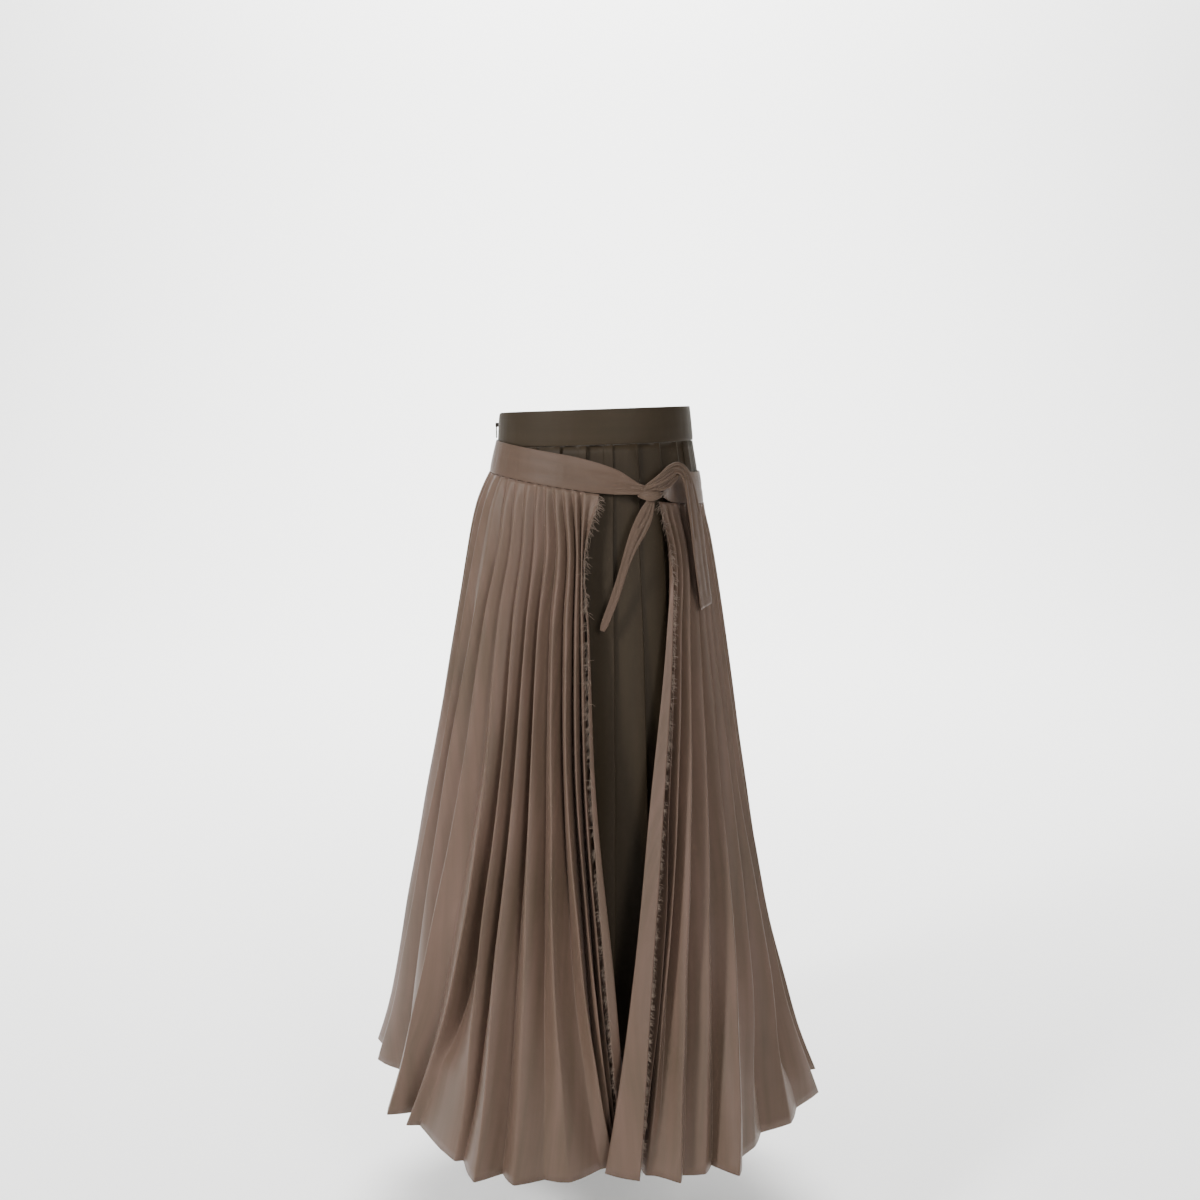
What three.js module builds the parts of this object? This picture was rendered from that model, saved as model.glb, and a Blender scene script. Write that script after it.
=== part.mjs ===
// A two-layer long skirt, seen worn: an inner skirt in knife pleats under a wrap overskirt in fan pleats.
// Millimetres, +Z up. z = 0 is the waistband's top edge at the middle of the back, and the back faces -Y.
// Places round the body are angles in degrees: 0 is the middle of the back, 90 the right, 180 the front.
import * as THREE from 'three';

// Driving dimensions
const cloth = { wall: 1.2, foldReach: 1.2, seamGap: 0.3 };
const waistband = { height: 41, wall: 2.6, frontDrop: 9, sideRise: 4, slit: 0.6, step: 7.5, endDrop: 3 };
const innerSkirt = { pleats: 24, hem: -836, firstFold: 9.5, drift: -3, seam: -92 };
const overskirt = { hem: -864, hiddenPleats: 34, seamAt: 0.75, shallowest: 0.3 };
const belt = {
  height: 38, wall: 1.8, top: -58, frontDrop: 7, sideRise: -19,
  start: 40, end: 360, step: 5, highOut: 2, lowOut: -1,
};
const band = { sides: 12, flatness: 0.6 };
const zip = { width: 9, wall: 1.2 };
const slider = {
  z: -12.5, out: 1.2, width: 5.4, height: 4.6, base: 1.4, lugDepth: 2, lugWidth: 1.1, fit: 0.35,
};
const pullTab = { length: 17, width: 5.6, wall: 1.1, pivotDrop: 2.2, neck: 3.4 };

// Half-widths of the inner skirt's folds at each height, and its pleats: how deep a fold is pressed
// under its neighbour, and how far its inner edge stands behind the outer one
const innerSections = [
  { z: 20, left: 117, right: 109.5, back: 88, front: 88, under: 12, behind: 6 },
  { z: -41, left: 120, right: 116, back: 91, front: 91, under: 12, behind: 6 },
  { z: -85, left: 123, right: 123, back: 96.5, front: 95.5, under: 12, behind: 6 },
  { z: -126, left: 123.5, right: 123.5, back: 100.5, front: 99.5, under: 12, behind: 6.2 },
  { z: -162, left: 125, right: 125, back: 105.5, front: 104.5, under: 12, behind: 7 },
  { z: -255, left: 136.5, right: 136.5, back: 121.5, front: 119, under: 11, behind: 9 },
  { z: -351, left: 146, right: 146, back: 139, front: 136, under: 10, behind: 11.5 },
  { z: -448, left: 154, right: 154, back: 155, front: 151, under: 8.5, behind: 14.5 },
  { z: -638, left: 172, right: 172, back: 181, front: 177, under: 5.5, behind: 19 },
  { z: -836, left: 198, right: 198, back: 199, front: 197, under: 3.5, behind: 24 },
];

// Rows of points down the inner skirt, as parts of the way from the waistband to the hem
const innerRows = [0, 0.06, 0.12, 0.2, 0.3, 0.42, 0.55, 0.7, 0.85, 1];

// Half-widths of the overskirt's ridges from its seam (0) to its hem (1), and the width of a pleat's face
const overSections = [
  { along: 0, left: 131, right: 130.5, back: 105.5, front: 107, face: 6 },
  { along: 0.02, left: 139, right: 133.5, back: 109.5, front: 111, face: 9 },
  { along: 0.05, left: 148, right: 139, back: 116, front: 116, face: 11 },
  { along: 0.1, left: 157, right: 146, back: 123.5, front: 122.5, face: 13 },
  { along: 0.19, left: 169, right: 157, back: 139.5, front: 137.5, face: 16.5 },
  { along: 0.3, left: 184.5, right: 169, back: 161, front: 158.5, face: 20.5 },
  { along: 0.43, left: 202.5, right: 182.5, back: 186, front: 182.5, face: 25 },
  { along: 0.56, left: 220.5, right: 198.5, back: 211, front: 208, face: 29.5 },
  { along: 0.7, left: 239.5, right: 217, back: 236, front: 234, face: 33.5 },
  { along: 0.8, left: 253, right: 233.5, back: 256, front: 254, face: 36.5 },
  { along: 0.9, left: 268.5, right: 253, back: 273, front: 272, face: 39 },
  { along: 1, left: 290, right: 278, back: 287, front: 286, face: 42.5 },
];

// Heights at which the tables below give a fold's place, as parts of the way from seam to hem
const levels = { seam: 0, hip: 0.087, upper: 0.203, middle: 0.442, lower: 0.706, hem: 1 };

// The right raw edge: the first face is turned outward, so its fold lies left of the edge lower down.
// A fold's out is how far it stands proud of the ridges, in face widths.
const rightEdge = [
  { seam: 34, hip: 37.5, upper: 34, middle: 25, lower: 17, hem: 9.9,
    out: { seam: 0, hip: 0, upper: 0.06, middle: 0.1, lower: 0.1, hem: 0.22 } },
  { seam: 35, hip: 38.2, upper: 31.5, middle: 20, lower: 11.2, hem: 1.9,
    out: { seam: -0.2, hip: -0.35, upper: -0.1, middle: -0.04, lower: -0.03, hem: -0.25 } },
  { seam: 36, hip: 39.2, upper: 36, middle: 27, lower: 19, hem: 9.3,
    out: { seam: -0.3, hip: -0.75, upper: -0.8, middle: -0.8, lower: -0.8, hem: -0.75 } },
];

// The left raw edge, whose last face is turned outward too and goes under the right one at the hem
const leftEdge = [
  { seam: -2.5, hip: -6.1, upper: -4.8, middle: -2.4, lower: 2.2, hem: 3.7,
    out: { seam: -0.4, hip: -0.75, upper: -0.85, middle: -0.85, lower: -0.8, hem: -1.42 } },
  { seam: 0.4, hip: -5.5, upper: -3.1, middle: -0.3, lower: 5.3, hem: 9.6,
    out: { seam: -0.2, hip: -0.35, upper: -0.12, middle: -0.04, lower: -0.06, hem: -1.22 } },
  { seam: 1.3, hip: -5, upper: -3.6, middle: -1.7, lower: 2.5, hem: 7.2,
    out: { seam: 0, hip: 0, upper: 0.06, middle: 0.1, lower: 0.08, hem: -1.08 } },
];

// The ridges that show from behind, from the right edge round to the right side. At the hem a ridge
// stands out by so many face widths, and the valley after it is part as deep and shifted round.
const rightRidges = [
  { seam: 38, hip: 41, upper: 35.6, middle: 28.1, lower: 20.8, hem: 10.9, out: -0.45, deep: 0.3, shift: 0 },
  { seam: 42, hip: 44.5, upper: 38.9, middle: 31.1, lower: 22.5, hem: 11.6, out: -0.05, deep: 0.25, shift: -1 },
  { seam: 47, hip: 49, upper: 44.2, middle: 37.1, lower: 27.4, hem: 18.6, out: 0.56, deep: 0.3, shift: -1.8 },
  { seam: 52.5, hip: 53.5, upper: 50.8, middle: 45, lower: 36.8, hem: 25, out: 0.43, deep: 0.65, shift: 0 },
  { seam: 58, hip: 58.5, upper: 56.5, middle: 53.5, lower: 45.9, hem: 31.2, out: 0.95, deep: 0.4, shift: -1 },
  { seam: 63, hip: 63.5, upper: 62.2, middle: 62, lower: 58.1, hem: 41.5, out: 0.12, deep: 0.75, shift: -1.2 },
  { seam: 68, hip: 69, upper: 68.2, middle: 68.5, lower: 68.9, hem: 56, out: 0.24, deep: 1, shift: -1 },
  { seam: 74, hip: 75.5, upper: 74, middle: 76, lower: 76.5, hem: 72.5, out: 0.42, deep: 1, shift: 0 },
];

// The same from the left side round to the left edge, whose last pleats lie on each other at the hem
const leftRidges = [
  { seam: -75, hip: -77, upper: -80, middle: -84, lower: -93, hem: -100, out: 0.35, deep: 0.4, shift: 0 },
  { seam: -66, hip: -67.5, upper: -70.5, middle: -70, lower: -81, hem: -88.5, out: 0, deep: 0.6, shift: 2 },
  { seam: -58, hip: -55.8, upper: -58.7, middle: -64.2, lower: -69, hem: -79, out: -0.7, deep: 0.4, shift: 1 },
  { seam: -51, hip: -47.5, upper: -51.4, middle: -52.3, lower: -57, hem: -60, out: 0.2, deep: 0.8, shift: -1 },
  { seam: -44, hip: -40.3, upper: -43, middle: -40.6, lower: -43.2, hem: -54, out: 0, deep: 1.55, shift: -8.1 },
  { seam: -36.5, hip: -33.6, upper: -34.9, middle: -33.6, lower: -35, hem: -33.7, out: 0.33, deep: 0.6, shift: -2.6 },
  { seam: -31, hip: -27.9, upper: -29, middle: -28.1, lower: -28.1, hem: -25.6, out: 0.9, deep: 0.68, shift: 0 },
  { seam: -26, hip: -22, upper: -23.5, middle: -22.2, lower: -20.2, hem: -16.9, out: 0.72, deep: 0.4, shift: 0 },
  { seam: -21, hip: -16.7, upper: -17.5, middle: -15.2, lower: -12.1, hem: -5.4, out: 0.23, deep: 0.4, shift: 1.3 },
  { seam: -15.5, hip: -11.8, upper: -12.1, middle: -9.9, lower: -4, hem: 4.9, out: -0.62, deep: 0.1, shift: -3.2 },
  { seam: -10.5, hip: -8.5, upper: -8.3, middle: -6.4, lower: -1.3, hem: 5.7, out: -0.88, deep: 0.08, shift: -3.5 },
  { seam: -6, hip: -6.4, upper: -5.7, middle: -3.5, lower: 0.8, hem: 6.4, out: -1.1, deep: 0, shift: 0 },
];

// Hidden pleats of the front are evenly fanned, with this unevenness, and one flares out at the left side
const hiddenSway = { turn: 0.9, turnRate: 2.4, out: 0.16, outRate: 1.7 };
const sideFlare = { pleat: 2, out: 0.45 };

// The free stretches of the belt: the middle of the band at each station, its height across the band and
// its thickness, and facing, the angle round the body towards which its flat side looks
const leftTie = [
  { x: 5, y: -105, z: -77.5, width: 37.5, wall: 1.8, facing: 2 },
  { x: 16, y: -106, z: -80.3, width: 34, wall: 2.4, facing: 4 },
  { x: 27, y: -107, z: -83.3, width: 30, wall: 3.2, facing: 6 },
  { x: 37, y: -108, z: -86.2, width: 25, wall: 4.4, facing: 8 },
  { x: 46.6, y: -108.4, z: -89, width: 19, wall: 6, facing: 8 },
];
const rightTie = [
  { x: 83.8, y: -81.2, z: -90.6, width: 36, wall: 1.8, facing: 40 },
  { x: 81.8, y: -88.5, z: -91, width: 30, wall: 3, facing: 44 },
  { x: 79, y: -97, z: -91.5, width: 22, wall: 4.5, facing: 48 },
  { x: 74.5, y: -104.6, z: -93, width: 15, wall: 6, facing: 52 },
];
const overTail = [
  { x: 64.5, y: -111.5, z: -80.8, width: 9, wall: 4.5, facing: 20 },
  { x: 72, y: -112.5, z: -76.2, width: 13, wall: 4, facing: 22 },
  { x: 82, y: -111, z: -69.8, width: 15, wall: 3.6, facing: 28 },
  { x: 91.5, y: -106, z: -66, width: 12.5, wall: 3.4, facing: 40 },
  { x: 101.5, y: -99.5, z: -73, width: 14, wall: 3.2, facing: 50 },
  { x: 107.5, y: -95, z: -89, width: 19, wall: 2.8, facing: 55 },
  { x: 111.5, y: -92, z: -109, width: 23, wall: 2.4, facing: 56 },
  { x: 115.5, y: -89.5, z: -132, width: 26, wall: 2, facing: 56 },
  { x: 122, y: -86.5, z: -177.5, width: 27, wall: 1.8, facing: 57 },
  { x: 130.5, y: -83, z: -235, width: 26, wall: 1.8, facing: 58 },
];
const downTail = [
  { x: 60.5, y: -111.2, z: -104.8, width: 10, wall: 5, facing: 20 },
  { x: 56.5, y: -113.5, z: -115.5, width: 16, wall: 4, facing: 16 },
  { x: 53, y: -115, z: -126, width: 19, wall: 3.4, facing: 12 },
  { x: 49, y: -117, z: -139, width: 17.5, wall: 3, facing: 10 },
  { x: 42, y: -119, z: -153.5, width: 13.5, wall: 2.8, facing: 8 },
  { x: 36.5, y: -121, z: -168.5, width: 10.5, wall: 2.6, facing: 8 },
  { x: 31.5, y: -122.5, z: -183.5, width: 8.5, wall: 2.4, facing: 6 },
  { x: 21, y: -126.5, z: -217, width: 9, wall: 2.2, facing: 4 },
  { x: 9, y: -131, z: -246, width: 9, wall: 2, facing: 2 },
  { x: 6, y: -132, z: -252, width: 5, wall: 1.8, facing: 2 },
];
const knot = {
  x: 60.5, y: -109.5, z: -93.8, width: 27.4, depth: 17, height: 18.4,
  tilt: 8, taper: 0.72, rings: 8, sides: 16,
};

// The zip's tape lies flat behind the waistband and then behind the pleats' inner folds
const zipPlaces = [
  { z: -18, behind: 3.9 },
  { z: -42, behind: 4.8 },
  { z: -58, behind: 9.6 },
  { z: -126, behind: 10 },
  { z: -205, behind: 11.6 },
];

const colours = { inner: 0x4d4133, over: 0x7b6658, zip: 0x3b362f };

const radians = THREE.MathUtils.degToRad;

function fabric(colour) {
  const look = { color: colour, roughness: 0.82, metalness: 0, side: THREE.DoubleSide };
  return new THREE.MeshStandardMaterial(look);
}

function named(name, geometry, material) {
  const mesh = new THREE.Mesh(geometry, material);
  mesh.name = name;
  return mesh;
}

// A smooth curve through the values, with the slope at each taken from its two neighbours
function smoothThrough(places, values, at) {
  const last = places.length - 1;
  const slope = (i) => {
    const a = Math.max(i - 1, 0);
    const b = Math.min(i + 1, last);
    return (values[b] - values[a]) / (places[b] - places[a]);
  };
  let i = 0;
  while (i < last - 1 && (at - places[i + 1]) * (places[last] - places[0]) > 0) i += 1;
  const span = places[i + 1] - places[i];
  const u = THREE.MathUtils.clamp((at - places[i]) / span, 0, 1);
  const ease = u * u * (3 - 2 * u);
  const leave = u * (1 - u) * (1 - u) * span * slope(i);
  const arrive = u * u * (u - 1) * span * slope(i + 1);
  return values[i] + ease * (values[i + 1] - values[i]) + leave + arrive;
}

function column(table, key) {
  return table.map((row) => row[key]);
}

const levelPlaces = Object.values(levels);

function atLevel(row, along) {
  return smoothThrough(levelPlaces, Object.keys(levels).map((level) => row[level]), along);
}

// A point on an oval round the body, moved outward along its radius
function roundBody(angle, halves, out, z) {
  const turn = radians(angle);
  const across = Math.sin(turn) < 0 ? halves.left : halves.right;
  const deep = Math.cos(turn) > 0 ? halves.back : halves.front;
  const x = across * Math.sin(turn);
  const y = -deep * Math.cos(turn);
  const grow = 1 + out / Math.hypot(x, y);
  return new THREE.Vector3(x * grow, y * grow, z);
}

function edgeHeight(edge, angle) {
  const turn = radians(angle);
  return -edge.frontDrop * (1 - Math.cos(turn)) + edge.sideRise * Math.sin(turn);
}

// The two skins of a wall along a line of plan points: each point moves square to the line, and at a
// sharp fold no further than the fold's reach
function offsetLine(points, distance) {
  return points.map((point, i) => {
    const before = points[Math.max(i - 1, 0)];
    const after = points[Math.min(i + 1, points.length - 1)];
    const normals = [];
    if (before !== point) normals.push(new THREE.Vector2(point.y - before.y, before.x - point.x).normalize());
    if (after !== point) normals.push(new THREE.Vector2(after.y - point.y, point.x - after.x).normalize());
    const middle = normals[0].clone();
    if (normals.length > 1) middle.add(normals[1]).normalize();
    const reach = Math.min(Math.abs(distance) / Math.max(middle.dot(normals[0]), 0.05),
      Math.max(cloth.foldReach, Math.abs(distance)));
    const move = middle.multiplyScalar(Math.sign(distance) * reach);
    return new THREE.Vector3(point.x + move.x, point.y + move.y, point.z);
  });
}

function closedGeometry(vertices, faces) {
  const geometry = new THREE.BufferGeometry();
  const places = vertices.flatMap((v) => [v.x, v.y, v.z]);
  geometry.setAttribute('position', new THREE.Float32BufferAttribute(places, 3));
  geometry.setIndex(faces);
  geometry.computeVertexNormals();
  return geometry;
}

// A wall of cloth through lines of points, the first line at the top, each line from left to right
// as seen from outside
function clothWall(lines, wall) {
  const across = lines[0].length;
  const outer = lines.flatMap((line) => offsetLine(line, wall / 2));
  const inner = lines.flatMap((line) => offsetLine(line, -wall / 2));
  const faces = [];
  const quad = (a, b, c, d) => faces.push(a, b, c, a, c, d);
  const back = outer.length;
  for (let row = 0; row < lines.length - 1; row += 1) {
    const top = row * across;
    const low = top + across;
    for (let i = 0; i < across - 1; i += 1) {
      quad(top + i, low + i, low + i + 1, top + i + 1);
      faces.push(back + top + i, back + low + i + 1, back + low + i);
      faces.push(back + top + i, back + top + i + 1, back + low + i + 1);
    }
    const end = across - 1;
    quad(top, back + top, back + low, low);
    quad(top + end, low + end, back + low + end, back + top + end);
  }
  const hem = (lines.length - 1) * across;
  for (let i = 0; i < across - 1; i += 1) {
    quad(i, i + 1, back + i + 1, back + i);
    quad(hem + i, back + hem + i, back + hem + i + 1, hem + i + 1);
  }
  return closedGeometry([...outer, ...inner], faces);
}

// Draws both ends of a line in along the line itself, which leaves half a seam's gap at each
function drawIn(points, gap) {
  const shortened = points.map((point) => point.clone());
  const pull = (end, next) => end.lerp(next, (gap / 2) / end.distanceTo(next));
  pull(shortened[0], points[1]);
  pull(shortened[points.length - 1], points[points.length - 2]);
  return shortened;
}

// Inner skirt

function innerHalves(z) {
  const heights = column(innerSections, 'z');
  const at = (key) => smoothThrough(heights, column(innerSections, key), z);
  const halves = { left: at('left'), right: at('right'), back: at('back'), front: at('front') };
  return { ...halves, under: at('under'), behind: at('behind') };
}

// The knife pleats at one height: each pleat is an outer fold, then an inner fold tucked back under it
function innerFolds(z, along) {
  const halves = innerHalves(z);
  const pitch = 360 / innerSkirt.pleats;
  const folds = [];
  for (let k = 0; k < innerSkirt.pleats; k += 1) {
    const angle = innerSkirt.firstFold + innerSkirt.drift * along + pitch * (k - innerSkirt.pleats / 2);
    const outer = { angle, out: 0 };
    const here = roundBody(angle, halves, 0, z);
    const degreeLength = here.distanceTo(roundBody(angle - 1, halves, 0, z));
    folds.push(outer, { angle: angle - halves.under / degreeLength, out: -halves.behind });
  }
  return folds.map((fold) => ({ ...fold, halves, z }));
}

function innerPanel(firstPleat, lastPleat) {
  const top = -waistband.height - 1.5 * cloth.seamGap;
  return innerRows.map((along) => {
    const line = [];
    const reach = innerSkirt.hem - top;
    const folds = innerFolds(top + reach * along, along);
    const count = folds.length;
    const point = (index) => {
      const fold = folds[((index % count) + count) % count];
      const drop = edgeHeight(waistband, fold.angle) * (1 - along);
      return roundBody(fold.angle, fold.halves, fold.out, fold.z + drop);
    };
    const first = 2 * firstPleat - 1;
    const last = 2 * lastPleat;
    line.push(point(first).lerp(point(first + 1), 0.5));
    for (let i = first + 1; i < last; i += 1) line.push(point(i));
    line.push(point(last - 1).lerp(point(last), 0.5));
    return drawIn(line, cloth.seamGap);
  });
}

// The waistband follows the top of the pleats and is open over the zip at the left side
function waistbandWall() {
  const seam = innerSkirt.seam;
  const steps = Math.round(360 / waistband.step);
  const rows = [0, 0.06, 0.5, 1];
  const lines = rows.map((along) => {
    const line = [];
    for (let i = 0; i <= steps; i += 1) {
      const angle = seam + 360 * (i / steps);
      const atEnd = i === 0 || i === steps;
      const z = -waistband.height * along - (atEnd ? waistband.endDrop * (1 - along) : 0);
      const halves = innerHalves(z);
      line.push(roundBody(angle, halves, -waistband.wall / 4, z + edgeHeight(waistband, angle)));
    }
    return drawIn(line, waistband.slit);
  });
  return clothWall(lines, waistband.wall);
}

// Zip

// A place on the outside of the skirt over the side slit, at a distance out from the inner skirt's folds
function besideSlit(offset, z, out) {
  const halves = innerHalves(z);
  const here = roundBody(innerSkirt.seam, halves, out, z);
  const tangent = roundBody(innerSkirt.seam + 1, halves, out, z).sub(here).setZ(0).normalize();
  return here.addScaledVector(tangent, offset);
}

function zipTape() {
  const lines = zipPlaces.map((place) => {
    const line = [];
    for (let i = -2; i <= 2; i += 1) line.push(besideSlit((i / 4) * zip.width, place.z, -place.behind));
    return line;
  });
  return clothWall(lines, zip.wall);
}

const skirt = new THREE.Group();
const innerCloth = fabric(colours.inner);
const overCloth = fabric(colours.over);

skirt.add(named('waistband', waistbandWall(), innerCloth));
skirt.add(named('inner_skirt_back', clothWall(innerPanel(5, 17), cloth.wall), innerCloth));
skirt.add(named('inner_skirt_front', clothWall(innerPanel(17, 29), cloth.wall), innerCloth));

// Overskirt

function overHalves(along) {
  const places = column(overSections, 'along');
  const at = (key) => smoothThrough(places, column(overSections, key), along);
  return { left: at('left'), right: at('right'), back: at('back'), front: at('front'), face: at('face') };
}

function overHeight(angle, along) {
  const top = belt.top - belt.height - cloth.seamGap + edgeHeight(belt, angle);
  return top + (overskirt.hem - top) * along;
}

// A raw edge's fold, which has its own place and its own distance from the ridges
function edgeFold(row, turns, along) {
  return { angle: atLevel(row, along) + 360 * turns, out: atLevel(row.out, along) };
}

// A ridge stands on the oval, and it and its valley change only towards the hem
function ridgeFold(row, turns, along) {
  const low = along ** 3;
  const angle = atLevel(row, along) + 360 * turns;
  return { angle, out: row.out * low, deep: 1 + (row.deep - 1) * low, shift: row.shift * low };
}

// Ridges hidden at the front, evenly spread between the last ones that show
function hiddenFold(index, along) {
  const start = ridgeFold(rightRidges[rightRidges.length - 1], 0, along);
  const end = ridgeFold(leftRidges[0], 1, along);
  const part = (index + 1) / (overskirt.hiddenPleats + 1);
  const sway = hiddenSway.turn * Math.sin(hiddenSway.turnRate * index) * Math.sin(Math.PI * part);
  const flare = overskirt.hiddenPleats - index === sideFlare.pleat ? sideFlare.out : 0;
  const out = hiddenSway.out * Math.sin(hiddenSway.outRate * index) + flare;
  const angle = THREE.MathUtils.lerp(start.angle, end.angle, part) + sway * along;
  return { angle, out: out * along ** 3, deep: 1, shift: 0 };
}

// All folds of the overskirt at one height, from the right raw edge round the front to the left one
function overFolds(along) {
  const halves = overHalves(along);
  const ridges = rightRidges.map((row) => ridgeFold(row, 0, along));
  for (let i = 0; i < overskirt.hiddenPleats; i += 1) ridges.push(hiddenFold(i, along));
  leftRidges.forEach((row) => ridges.push(ridgeFold(row, 1, along)));
  const place = (fold) => roundBody(fold.angle, halves, fold.out * halves.face, overHeight(fold.angle, along));
  const folds = rightEdge.map((row) => place(edgeFold(row, 0, along)));
  ridges.forEach((ridge, i) => {
    folds.push(place(ridge));
    if (i === ridges.length - 1) return;
    const next = ridges[i + 1];
    const half = place(ridge).distanceTo(place(next)) / 2 / halves.face;
    const depth = Math.sqrt(Math.max(1 - half * half, overskirt.shallowest ** 2)) * ridge.deep;
    const middle = (ridge.angle + next.angle) / 2 + ridge.shift;
    folds.push(place({ angle: middle, out: (ridge.out + next.out) / 2 - depth }));
  });
  leftEdge.forEach((row) => folds.push(place(edgeFold(row, 1, along))));
  return folds;
}

// Each width is a run of folds, cut in the middle of a face where it is sewn to the next
function overWidth(firstFold, lastFold) {
  return column(overSections, 'along').map((along) => {
    const folds = overFolds(along);
    const end = lastFold ?? folds.length - 1;
    const cut = (i) => folds[i].clone().lerp(folds[i + 1], overskirt.seamAt);
    const line = firstFold === 0 ? [] : [cut(firstFold)];
    for (let i = firstFold === 0 ? 0 : firstFold + 1; i <= end; i += 1) line.push(folds[i]);
    if (lastFold !== undefined) line.push(cut(lastFold));
    return drawIn(line, cloth.seamGap);
  });
}

// Every other fold is a ridge, after the three folds of the right edge
const ridgePlace = (ridge) => rightEdge.length + 2 * ridge;
const sideSeam = ridgePlace(rightRidges.length + 1);
const frontSeam = ridgePlace(rightRidges.length + overskirt.hiddenPleats / 2);
const otherSeam = ridgePlace(rightRidges.length + overskirt.hiddenPleats - 2);
const widths = {
  overskirt_right_back: overWidth(0, sideSeam),
  overskirt_right_front: overWidth(sideSeam, frontSeam),
  overskirt_left_front: overWidth(frontSeam, otherSeam),
  overskirt_left_back: overWidth(otherSeam, undefined),
};
Object.entries(widths).forEach(([name, lines]) => {
  skirt.add(named(name, clothWall(lines, cloth.wall), overCloth));
});

// Belt: its top edge lies on the inner skirt's folds, and its lower edge on the overskirt's seam
function beltWall() {
  const steps = Math.round((belt.end - belt.start) / belt.step);
  const rows = [0, 0.5, 1];
  const lines = rows.map((along) => {
    const line = [];
    for (let i = 0; i <= steps; i += 1) {
      const angle = THREE.MathUtils.lerp(belt.start, belt.end, i / steps);
      const z = belt.top + edgeHeight(belt, angle);
      const high = roundBody(angle, innerHalves(z - edgeHeight(waistband, angle)), belt.highOut, z);
      const low = roundBody(angle, overHalves(0), belt.lowOut, z - belt.height);
      line.push(high.lerp(low, along));
    }
    return line;
  });
  return clothWall(lines, belt.wall);
}

skirt.add(named('belt', beltWall(), overCloth));

// A band of cloth through stations: a flat oval section, square to the way the band runs
function bandLoft(stations) {
  const centres = stations.map((s) => new THREE.Vector3(s.x, s.y, s.z));
  const rings = stations.map((station, i) => {
    const before = centres[Math.max(i - 1, 0)];
    const after = centres[Math.min(i + 1, centres.length - 1)];
    const along = after.clone().sub(before).normalize();
    const facing = radians(station.facing);
    const out = new THREE.Vector3(Math.sin(facing), -Math.cos(facing), 0);
    out.addScaledVector(along, -out.dot(along)).normalize();
    const across = new THREE.Vector3().crossVectors(out, along);
    const ring = [];
    for (let k = 0; k < band.sides; k += 1) {
      const turn = (2 * Math.PI * k) / band.sides;
      const wide = Math.sign(Math.cos(turn)) * Math.abs(Math.cos(turn)) ** band.flatness;
      const thick = Math.sign(Math.sin(turn)) * Math.abs(Math.sin(turn)) ** band.flatness;
      const point = centres[i].clone().addScaledVector(across, (wide * station.width) / 2);
      ring.push(point.addScaledVector(out, (thick * station.wall) / 2));
    }
    return ring;
  });
  return ringLoft(rings);
}

function ringLoft(rings) {
  const sides = rings[0].length;
  const faces = [];
  for (let r = 0; r < rings.length - 1; r += 1) {
    for (let k = 0; k < sides; k += 1) {
      const next = (k + 1) % sides;
      const a = r * sides;
      const b = a + sides;
      faces.push(a + k, a + next, b + next, a + k, b + next, b + k);
    }
  }
  const last = (rings.length - 1) * sides;
  for (let k = 1; k < sides - 1; k += 1) {
    faces.push(0, k + 1, k);
    faces.push(last, last + k, last + k + 1);
  }
  return closedGeometry(rings.flat(), faces);
}

skirt.add(named('tie_left', bandLoft(leftTie), overCloth));
skirt.add(named('tie_right', bandLoft(rightTie), overCloth));
skirt.add(named('tail_over', bandLoft(overTail), overCloth));
skirt.add(named('tail_down', bandLoft(downTail), overCloth));

// Knot: a rounded lump with blunt ends, lying along the belt
function knotLump() {
  const rings = [];
  for (let i = 0; i < knot.rings; i += 1) {
    const along = THREE.MathUtils.lerp(-1, 1, i / (knot.rings - 1));
    const size = Math.sqrt(1 - knot.taper * along * along);
    const ring = [];
    for (let k = 0; k < knot.sides; k += 1) {
      const turn = (2 * Math.PI * k) / knot.sides;
      const y = (Math.cos(turn) * size * knot.depth) / 2;
      const z = (Math.sin(turn) * size * knot.height) / 2;
      ring.push(new THREE.Vector3((along * knot.width) / 2, y, z));
    }
    rings.push(ring);
  }
  return ringLoft(rings);
}

const knotMesh = named('knot', knotLump(), overCloth);
knotMesh.position.set(knot.x, knot.y, knot.z);
knotMesh.rotation.y = radians(-knot.tilt);
skirt.add(knotMesh);

skirt.add(named('zip_tape', zipTape(), fabric(colours.zip)));

// Slider and pull tab on the waistband's side: x runs along the surface, -y is outward, z is up
const onSlit = new THREE.Group();
const slitPlace = besideSlit(0, slider.z, slider.out);
const slitWay = besideSlit(1, slider.z, slider.out).sub(slitPlace);
onSlit.position.set(slitPlace.x, slitPlace.y, slider.z + edgeHeight(waistband, innerSkirt.seam));
onSlit.rotation.z = Math.atan2(slitWay.y, slitWay.x);

// A base with two lugs, which hold the tab's neck between them
function sliderBlock() {
  const half = slider.width / 2;
  const inside = half - slider.lugWidth;
  const tip = -slider.base - slider.lugDepth;
  const outline = new THREE.Shape();
  outline.moveTo(half, 0);
  outline.lineTo(-half, 0);
  outline.lineTo(-half, tip);
  outline.lineTo(-inside, tip);
  outline.lineTo(-inside, -slider.base);
  outline.lineTo(inside, -slider.base);
  outline.lineTo(inside, tip);
  outline.lineTo(half, tip);
  outline.closePath();
  const block = new THREE.ExtrudeGeometry(outline, { depth: slider.height, bevelEnabled: false });
  return block.translate(0, 0, -slider.height);
}

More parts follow.
